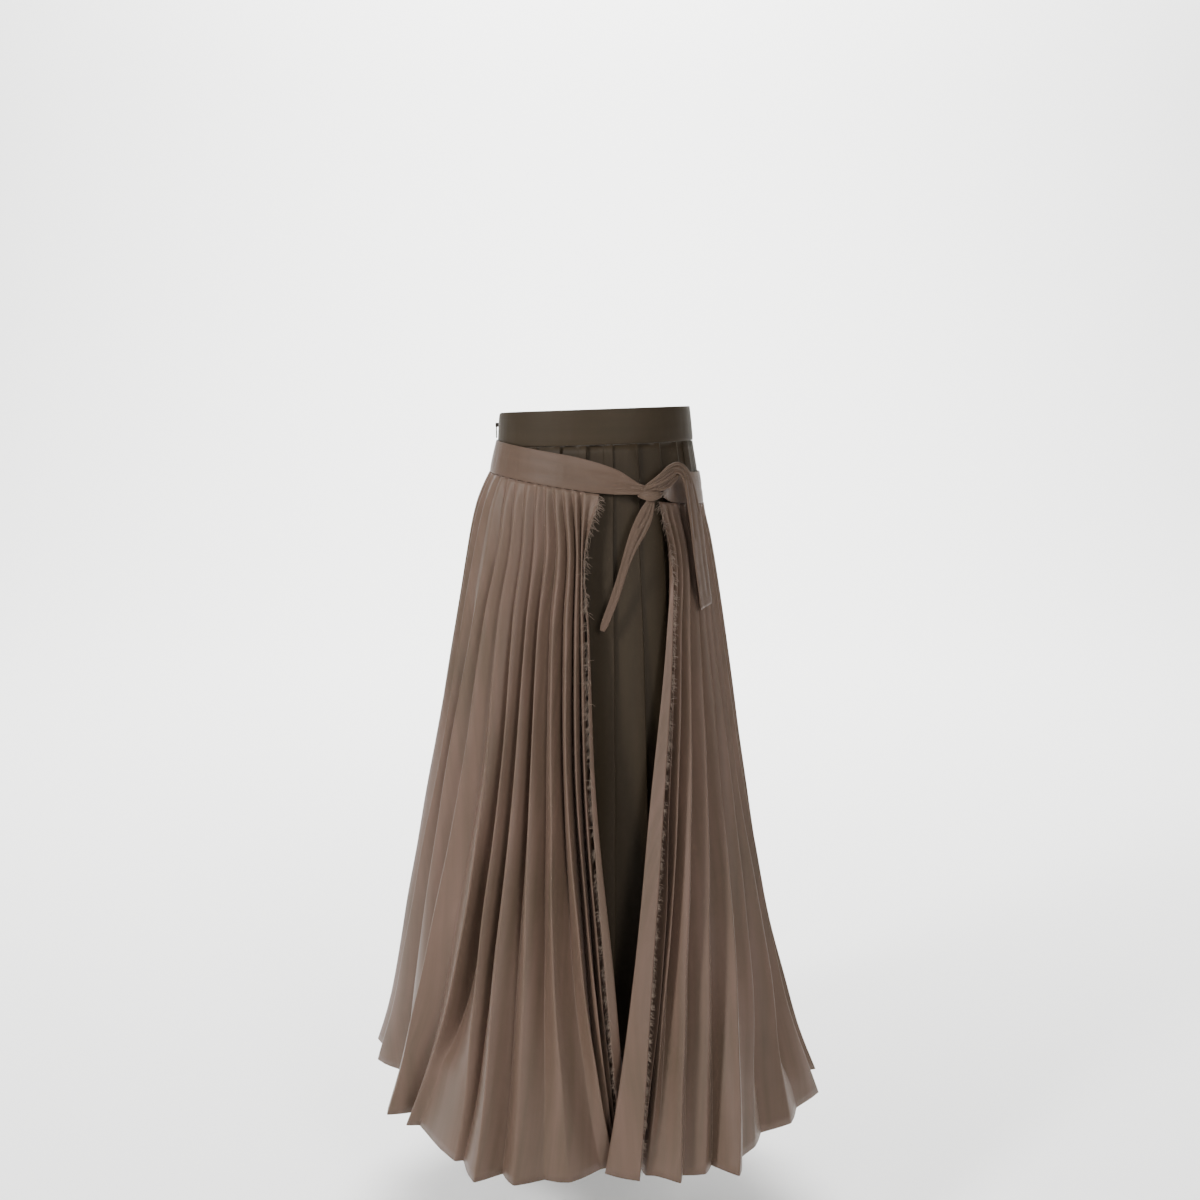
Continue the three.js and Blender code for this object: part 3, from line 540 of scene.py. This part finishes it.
# The skin's square is how flat the band's faces are; its ends, when it has them, are pressed thin
def bandGrid(high, low, wall, troughs, skin):
    turn = np.linspace(0, 2 * math.pi, bandSkin["sides"], endpoint=False)
    part = 0.5 + 0.5 * np.sign(np.cos(turn)) * np.abs(np.cos(turn)) ** bandSkin["spread"]
    side = np.sign(np.sin(turn)) * np.abs(np.sin(turn)) ** skin["square"]
    middle = (high + low) / 2
    steps = walkedAlong(middle)
    out = unit(np.cross(np.gradient(middle, axis=0), high - low))
    wide = np.linalg.norm(high - low, axis=-1)
    thick = np.broadcast_to(wall, steps.shape).copy()
    if skin["ends"]:
        thick[[0, -1]] = bandSkin["endWall"]
    relief = troughRelief(troughs, part[None], (steps / steps[-1])[:, None], wide[:, None])
    slow = unevenWave(steps / bandSkin["wave"], skin["seed"])[:, None]
    quick = unevenWave(steps / bandSkin["ripple"], skin["seed"] + 1)[:, None]
    wave = slow * np.cos(2 * part)[None] + bandSkin["quick"] * quick
    lift = thick[:, None] / 2 * side[None] + relief + skin["ripple"] * wave * np.sin(math.pi * part)[None]
    points = low[:, None] + part[None, :, None] * (high - low)[:, None] + lift[..., None] * out[:, None]
    uv = np.stack([np.broadcast_to((part[None] - 0.5) * wide[:, None], lift.shape),
                   np.broadcast_to(steps[:, None], lift.shape)], -1)
    return points, uv


# Edge lines of a free stretch. A station's row: x, y, z, width, wall and the angle that its flat side faces
def stretchEdges(table, count):
    table = np.array(table, float)
    steps = walkedAlong(table[:, :3])
    at = np.linspace(0, steps[-1], count)
    x, y, z, width, wall, facing = (smoothThrough(steps, column, at) for column in table.T)
    middle = np.stack([x, y, z], -1)
    along = unit(np.gradient(middle, axis=0))
    out = np.stack([np.sin(np.radians(facing)), -np.cos(np.radians(facing)), 0 * facing], -1)
    out = unit(out - (out * along).sum(-1, keepdims=True) * along)
    across = np.cross(out, along) * (width / 2)[:, None]
    return middle + across, middle - across, wall


# Belt: the right tie comes off the knot, the band goes round the body, and the left tie runs into the knot.
# Where the band meets a tie, the last stations are cut off and the lines eased over a reach of stations.
rightTie = [
    (74.5, -104.6, -93, 15, 6, 52), (79, -97, -91.5, 22, 4.5, 48),
    (81.8, -88.5, -91, 30, 3, 44), (83.8, -81.2, -90.6, 36, 1.8, 40),
]
leftTie = [
    (5, -105, -78.6, 34.8, 1.8, 2), (16, -106, -81, 31, 2.3, 4), (27, -107.2, -84, 26, 2.8, 6),
    (37, -108.8, -86.9, 19.5, 3.4, 8), (46, -110.4, -89.2, 14, 3.6, 8), (53, -111.8, -89.6, 10.5, 3.2, 10),
    (59.5, -111.6, -88.8, 6.5, 2, 14),
]
beltJoin = {"cut": 7, "reach": 14, "passes": 60}
beltTroughs = [
    (0.93, 1, 0.3, 0.76, 1.6, 2.2), (0.945, 0.995, 0.14, 0.5, 1.3, 1.9), (0.9, 0.99, 0.6, 0.88, 2.6, 1.1),
    (0.96, 1, 0.5, 0.34, 1, 1.1), (0.94, 0.975, 0.44, 0.56, 1.6, 0.9), (0.88, 0.96, 0.5, 0.4, 3, 0.6),
    (0, 0.03, 0.5, 0.45, 2, 1), (0, 0.022, 0.75, 0.8, 1.5, 0.8),
    (0.72, 0.95, 0.2, 0.42, 4, 0.45), (0.78, 0.9, 0.8, 0.6, 3.5, 0.35), (0.05, 0.22, 0.3, 0.55, 4, 0.4),
    (0.3, 0.46, 0.7, 0.4, 4, 0.35), (0.52, 0.64, 0.3, 0.6, 4, 0.35), (0.86, 0.97, 0.5, 0.68, 3, 0.4),
]


# Even out a line between two of its points: each pass moves a point half way to the middle of its neighbours
def eased(line, start, end, passes):
    line = line.copy()
    for _ in range(passes):
        middle = (line[start - 1:end - 1] + line[start + 1:end + 1]) / 2
        line[start:end] = (line[start:end] + middle) / 2
    return line


def buildBelt():
    angle = np.linspace(belt["start"], belt["end"], belt["stations"])
    z = belt["top"] + edgeHeight(belt, angle)
    bodyHigh = roundBody(angle, innerHalves(z - edgeHeight(waistband, angle)), belt["highOut"], z)
    overTop = {key: values[0] for key, values in overSections.items()}
    bodyLow = roundBody(angle, overTop, belt["lowOut"], z - belt["height"])
    rightHigh, rightLow, rightWall = stretchEdges(rightTie, belt["rightStations"])
    leftHigh, leftLow, leftWall = stretchEdges(leftTie, belt["leftStations"])
    cut = beltJoin["cut"]
    high = np.concatenate([rightHigh[:-1], bodyHigh[1:-cut], leftHigh])
    low = np.concatenate([rightLow[:-1], bodyLow[1:-cut], leftLow])
    wall = np.concatenate([rightWall[:-1], np.full(len(angle) - cut - 1, belt["wall"]), leftWall])
    for joint in (len(rightWall), len(wall) - len(leftWall)):
        start = max(joint - beltJoin["reach"], 1)
        high = eased(high, start, joint + beltJoin["reach"], beltJoin["passes"])
        low = eased(low, start, joint + beltJoin["reach"], beltJoin["passes"])
    points, uv = bandGrid(high, low, wall, beltTroughs, belt["skin"])
    piece = gridPiece("belt_cloth", points, uv, beltCloth, ring=True)
    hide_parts("belt", "tie_left", "tie_right")
    print("belt round", round(lineLength((high + low) / 2)))
    return piece


beltPiece = buildBelt()

# Tails of the belt: one folds over above the knot and hangs at the right, the other hangs from below it
tailSkin = {"stations": 110, "ripple": 0.2, "square": 0.5, "ends": True}
tailSeeds = {"tail_over": 41, "tail_down": 51}
overTail = [
    (54, -112.4, -88.6, 4, 2, 6), (61, -115, -84.4, 7.4, 2.8, 12), (68.3, -115.6, -79.9, 9.6, 3, 18),
    (76.9, -113.4, -74.6, 12.4, 3, 24), (84.5, -110, -68.8, 14.4, 2.8, 30),
    (92, -105.6, -65.4, 13.4, 2.6, 40), (99.8, -100.4, -69.6, 13.4, 2.4, 50),
    (105.6, -96, -80, 17, 2.3, 55), (109.4, -93.2, -94, 21, 2.2, 56), (112.4, -91.4, -110, 24, 2.1, 56),
    (116.3, -89.2, -132, 26.5, 2, 56), (122.3, -86.4, -177.5, 27.5, 1.8, 57), (130.3, -83, -235, 27, 1.8, 58),
]
overTailTroughs = [
    (0, 0.2, 0.62, 0.5, 1.1, 1.8), (0, 0.26, 0.3, 0.25, 1.1, 1.5), (0.1, 0.34, 0.78, 0.6, 1.1, 1.8),
    (0.16, 0.3, 0.46, 0.3, 1, 1.4), (0.25, 0.62, 0.3, 0.22, 1.8, 1.1), (0.3, 0.5, 0.74, 0.8, 1.3, 1),
    (0.4, 0.95, 0.62, 0.72, 3, 0.8), (0.5, 1, 0.35, 0.3, 4, 0.5),
]
# The loop's inner leg, from the knot up behind the tail
loopLeg = [
    (65.5, -112.4, -90.6, 5, 2, 10), (71.5, -112.2, -88, 9, 2.6, 18), (78, -109.6, -84.6, 12.4, 2.6, 28),
    (85, -105.6, -80, 13, 2.4, 36), (91.5, -101.6, -76, 9.5, 2, 42), (95.5, -98.8, -73.4, 4, 1.5, 46),
]
loopLegTroughs = [
    (0, 0.8, 0.5, 0.62, 1.1, 1.8), (0.1, 0.9, 0.26, 0.34, 1.2, 1.4), (0.3, 1, 0.8, 0.74, 1.2, 1.2),
]
downTail = [
    (63, -112.4, -102, 9, 3, 20), (58.5, -114, -113.5, 16, 3, 16), (53.6, -115.4, -126, 19, 2.8, 12),
    (47.6, -117, -139, 18, 2.6, 10), (41, -119, -153.5, 14.5, 2.4, 8), (35.4, -121, -168.5, 11.6, 2.3, 8),
    (30.6, -122.5, -183.5, 10, 2.2, 6), (19.8, -126.5, -217, 10, 2.1, 4), (8.6, -131, -246, 8.6, 2, 2),
    (6, -132, -253, 5.5, 1.8, 2),
]
downTailTroughs = [
    (0, 0.22, 0.55, 0.42, 1.1, 1.5), (0, 0.3, 0.78, 0.72, 1, 1.3), (0.12, 0.48, 0.66, 0.8, 1.2, 1.1),
    (0.2, 0.7, 0.3, 0.45, 1.8, 0.5), (0.45, 0.98, 0.6, 0.5, 1.6, 0.4),
]


# One piece from several closed grids
def joined(name, grids):
    points, uvs, faces = [], [], []
    count = 0
    for grid, uv in grids:
        faces.append(gridFaces(*grid.shape[:2], True, count))
        points.append(grid.reshape(-1, 3))
        uvs.append(uv.reshape(-1, 2))
        count += len(points[-1])
    points, faces, uvs = (np.concatenate(parts) for parts in (points, faces, uvs))
    return meshPiece(name, points, faces, uvs, beltCloth)


def foldedBand(table, troughs, skin):
    return bandGrid(*stretchEdges(table, skin["stations"]), troughs, skin)


def buildTail(name, stretches):
    skin = {**tailSkin, "seed": tailSeeds[name]}
    grids = [foldedBand(table, troughs, skin) for table, troughs in stretches]
    piece = joined(name + "_cloth", grids)
    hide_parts(name)
    return piece


overTailPiece = buildTail("tail_over", [(overTail, overTailTroughs), (loopLeg, loopLegTroughs)])
downTailPiece = buildTail("tail_down", [(downTail, downTailTroughs)])
print("belt and tails made")

# Knot: a round core under a lens-shaped wrap in front and a narrower turn of the band above it
knotCore = {
    "x": 61.5, "y": -109, "z": -93.4, "long": 12.4, "deep": 5.6, "high": 6.4, "pointed": 0.85, "tilt": 12,
    "stations": 25, "sides": 32,
}
knotSkin = {"stations": 40, "seed": 71, "ripple": 0.1, "square": 0.85, "ends": True}
knotWraps = [
    [(46.8, -108.8, -97.3, 2, 1.6, 0), (50.5, -112.8, -97, 6, 2.8, 0), (56, -115.8, -96.6, 10.4, 3.4, 4),
     (62.5, -117.2, -96.9, 11.6, 3.6, 8), (69, -116, -96.4, 9.4, 3.4, 16), (74, -112.2, -95.6, 5.6, 2.6, 32),
     (77.2, -107.6, -94.6, 2, 1.5, 48)],
    [(52, -110, -91.4, 4, 2, 0), (57, -112.6, -90.6, 6, 2.6, 4), (63.5, -113.8, -89, 7.4, 2.6, 10),
     (69.5, -112.8, -88, 6, 2.4, 20), (74.5, -109, -88, 3, 1.6, 38)],
]
knotTroughs = [
    [(0.05, 0.95, 0.72, 0.66, 0.9, 0.5), (0.3, 0.8, 0.34, 0.3, 0.8, 0.3)],
    [(0.05, 0.95, 0.45, 0.55, 0.9, 0.7)],
]


# The core's height and depth fall to its ends, as the root of one minus pointed times long squared
def buildKnot():
    long = np.linspace(-1, 1, knotCore["stations"])
    turn = np.linspace(0, 2 * math.pi, knotCore["sides"], endpoint=False)
    size = np.sqrt(1 - knotCore["pointed"] * long ** 2)
    tilt = math.radians(knotCore["tilt"])
    x = knotCore["long"] * long[:, None] + 0 * turn
    y = knotCore["deep"] * size[:, None] * np.cos(turn)
    z = knotCore["high"] * size[:, None] * np.sin(turn)
    core = np.stack([x * math.cos(tilt) - z * math.sin(tilt) + knotCore["x"], y + knotCore["y"],
                     x * math.sin(tilt) + z * math.cos(tilt) + knotCore["z"]], -1)
    grids = [(core, np.stack([core[..., 2], core[..., 0]], -1))]
    grids += [foldedBand(table, troughs, knotSkin) for table, troughs in zip(knotWraps, knotTroughs)]
    piece = joined("knot_cloth", grids)
    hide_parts("knot")
    return piece


knotPiece = buildKnot()
print("knot made")


# Waistband: a thick band with rounded edges, open over the zip, its corners there dropped a little
def buildWaistband():
    ends = waistband["slit"] / 2 / waistband["degree"]
    angle = np.linspace(waistband["seam"] + ends, waistband["seam"] + 360 - ends, waistband["stations"])
    corner = np.minimum(angle - angle[0], angle[-1] - angle)
    drop = waistband["endDrop"] * np.exp(-(corner / waistband["corner"]) ** 2)
    rise = edgeHeight(waistband, angle)
    topHalves = innerHalves(0 * angle)
    lowHalves = innerHalves(0 * angle - waistband["height"])
    inset = waistband["wall"] * waistband["inset"]
    high = roundBody(angle, topHalves, -inset, rise - drop)
    low = roundBody(angle, lowHalves, -inset, rise - waistband["height"])
    points, uv = bandGrid(high, low, waistband["wall"], [], waistband["skin"])
    piece = gridPiece("waistband_cloth", points, uv, innerCloth, ring=True)
    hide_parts("waistband")
    print("waistband round", round(lineLength((high + low) / 2)))
    return piece


waistPiece = buildWaistband()

# Zip parts keep their solids' shapes
for node, material in (("zip_tape", zipCloth), ("zip_slider", zipMetal), ("zip_pull_tab", zipMetal)):
    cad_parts[node].data.materials.clear()
    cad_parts[node].data.materials.append(material)

# Frays: thin strands drawn out of the raw edges in clumps, curled and pulled down. A tip has the thinned part
# of the radius, and the shortest strand that part of the longest. Corners are a tube's thirds of a turn, set
# out from a direction across the strand.
frays = {
    "segments": 6, "radius": 0.24, "thinned": 0.5, "corners": (0, 2.094, 4.189), "across": (0.31, 0.2, 0.93),
    "droop": 0.1925, "curl": 0.175, "spread": 0.5, "clump": 2.6, "shortest": 0.35,
}
# Stretches: from and to along the edge, clumps, strands in each, longest strand
rightFray = {"seed": 201, "stretches": [(0, 120, 40, 4, 10), (120, 330, 70, 4, 8), (330, 780, 130, 4, 6.5)]}
leftFray = {"seed": 301, "stretches": [(2, 60, 22, 4, 14), (60, 280, 52, 4, 13), (280, 760, 110, 4, 7)]}


# Each strand walks from its root: its way bends down and sideways a little at every step
def strandPoints(roots, ways, lengths, seed):
    seeded = np.random.default_rng(seed)
    place = roots.copy()
    way = unit(ways + seeded.normal(0, frays["spread"], ways.shape))
    bend = unit(seeded.normal(0, 1, ways.shape))
    lines = [place]
    for _ in range(frays["segments"]):
        way = unit(way + frays["curl"] * bend + np.array([0, 0, -frays["droop"]]))
        place = place + way * (lengths / frays["segments"])[:, None]
        lines.append(place)
    return np.stack(lines, 1)


# Three-sided tubes round the strands' lines, thinner to the tip
def strandMesh(name, lines, material):
    steps = lines.shape[1]
    along = unit(np.gradient(lines, axis=1))
    side = unit(np.cross(along, np.array(frays["across"])))
    up = np.cross(along, side)
    thin = frays["radius"] * np.linspace(1, frays["thinned"], steps)[None, :, None]
    corners = [lines + thin * (math.cos(turn) * side + math.sin(turn) * up) for turn in frays["corners"]]
    points = np.stack(corners, 2)
    place = np.arange(points[..., 0].size).reshape(points.shape[:3])
    right = np.roll(place, -1, axis=2)
    faces = np.stack([place[:, :-1], right[:, :-1], right[:, 1:], place[:, 1:]], -1).reshape(-1, 4)
    flat = points.reshape(-1, 3)
    return meshPiece(name, flat, faces, flat[:, [0, 2]], material)


# Roots at clumped places along an edge line, each strand leaving away from the fold inside the edge
def frayEdge(name, edge, inner, fray):
    seeded = np.random.default_rng(fray["seed"])
    length = walkedAlong(edge)
    roots, ways, lengths = [], [], []
    for start, end, clumps, perClump, longest in fray["stretches"]:
        centres = seeded.uniform(start, end, clumps)
        spots = (centres[:, None] + seeded.normal(0, frays["clump"], (clumps, perClump))).ravel()
        spots = np.clip(spots, start, end)
        root = np.stack([np.interp(spots, length, edge[:, k]) for k in range(3)], -1)
        inside = np.stack([np.interp(spots, length, inner[:, k]) for k in range(3)], -1)
        roots.append(root)
        ways.append(unit(root - inside))
        lengths.append(longest * seeded.uniform(frays["shortest"], 1, len(spots)))
    roots, ways, lengths = (np.concatenate(parts) for parts in (roots, ways, lengths))
    lines = strandPoints(roots, ways, lengths, fray["seed"] + 1)
    return strandMesh(name, lines, threadCloth)


rightFrays = frayEdge("frays_right", overFoldLines[0], overFoldLines[1], rightFray)
leftFrays = frayEdge("frays_left", overFoldLines[-1], overFoldLines[-2], leftFray)
print("frays made")

# Pale floor that sweeps up behind in a quarter round, world and lights, in metres and watts
floorLook = {
    "z": -1.06, "near": -8, "sweep": 2.8, "radius": 1.8, "top": 5, "half": 9, "steps": 24,
    "colour": (0.9, 0.9, 0.89), "roughness": 0.9,
}
worldLook = {"colour": (0.98, 0.985, 1), "strength": 0.3}
lights = {
    "key": {"place": (-2.3, -1.95, 1.45), "aim": (0, 0, -0.3), "size": 0.6, "power": 128},
    "front": {"place": (1.1, -2.8, 0.9), "aim": (0, 0, -0.4), "size": 0.8, "power": 58},
    "behind": {"place": (0, 1.9, 3.2), "aim": (0, 4.6, 0.2), "size": 2.6, "power": 800},
}


def buildFloor():
    turn = np.linspace(0, math.pi / 2, floorLook["steps"])
    radius = floorLook["radius"]
    sweep = floorLook["sweep"] + radius * np.sin(turn)
    y = np.concatenate([[floorLook["near"]], sweep, [floorLook["sweep"] + radius]])
    z = np.concatenate([[0], radius * (1 - np.cos(turn)), [floorLook["top"]]]) + floorLook["z"]
    half = floorLook["half"]
    points = np.concatenate([np.stack([side + 0 * y, y, z], -1) for side in (-half, half)])
    rows = np.arange(len(y) - 1)
    faces = np.stack([rows, rows + len(y), rows + len(y) + 1, rows + 1], -1)
    mesh = bpy.data.meshes.new("floor")
    mesh.from_pydata(points.tolist(), [], faces.tolist())
    mesh.polygons.foreach_set("use_smooth", np.ones(len(faces), dtype=bool))
    floor = bpy.data.objects.new("floor", mesh)
    bpy.context.collection.objects.link(floor)
    material, _, _, shader = newMaterial("floor")
    shader.inputs["Base Color"].default_value = (*floorLook["colour"], 1)
    shader.inputs["Roughness"].default_value = floorLook["roughness"]
    mesh.materials.append(material)


# Round lamp turned to its aim: tipped up by the slope of the way there, and turned by its way on the floor
def areaLight(name, lamp):
    data = bpy.data.lights.new(name, "AREA")
    data.shape = "DISK"
    data.size = lamp["size"]
    data.energy = lamp["power"]
    light = bpy.data.objects.new(name, data)
    light.location = lamp["place"]
    way = np.array(lamp["aim"]) - np.array(lamp["place"])
    flat = math.hypot(way[0], way[1])
    light.rotation_euler = (math.atan2(flat, -way[2]), 0, math.atan2(-way[0], way[1]))
    bpy.context.collection.objects.link(light)


buildFloor()
world = bpy.data.worlds.new("studio")
world.use_nodes = True
background = world.node_tree.nodes["Background"]
background.inputs["Color"].default_value = (*worldLook["colour"], 1)
background.inputs["Strength"].default_value = worldLook["strength"]
bpy.context.scene.world = world
for lightName, lamp in lights.items():
    areaLight(lightName, lamp)
print("stage made")
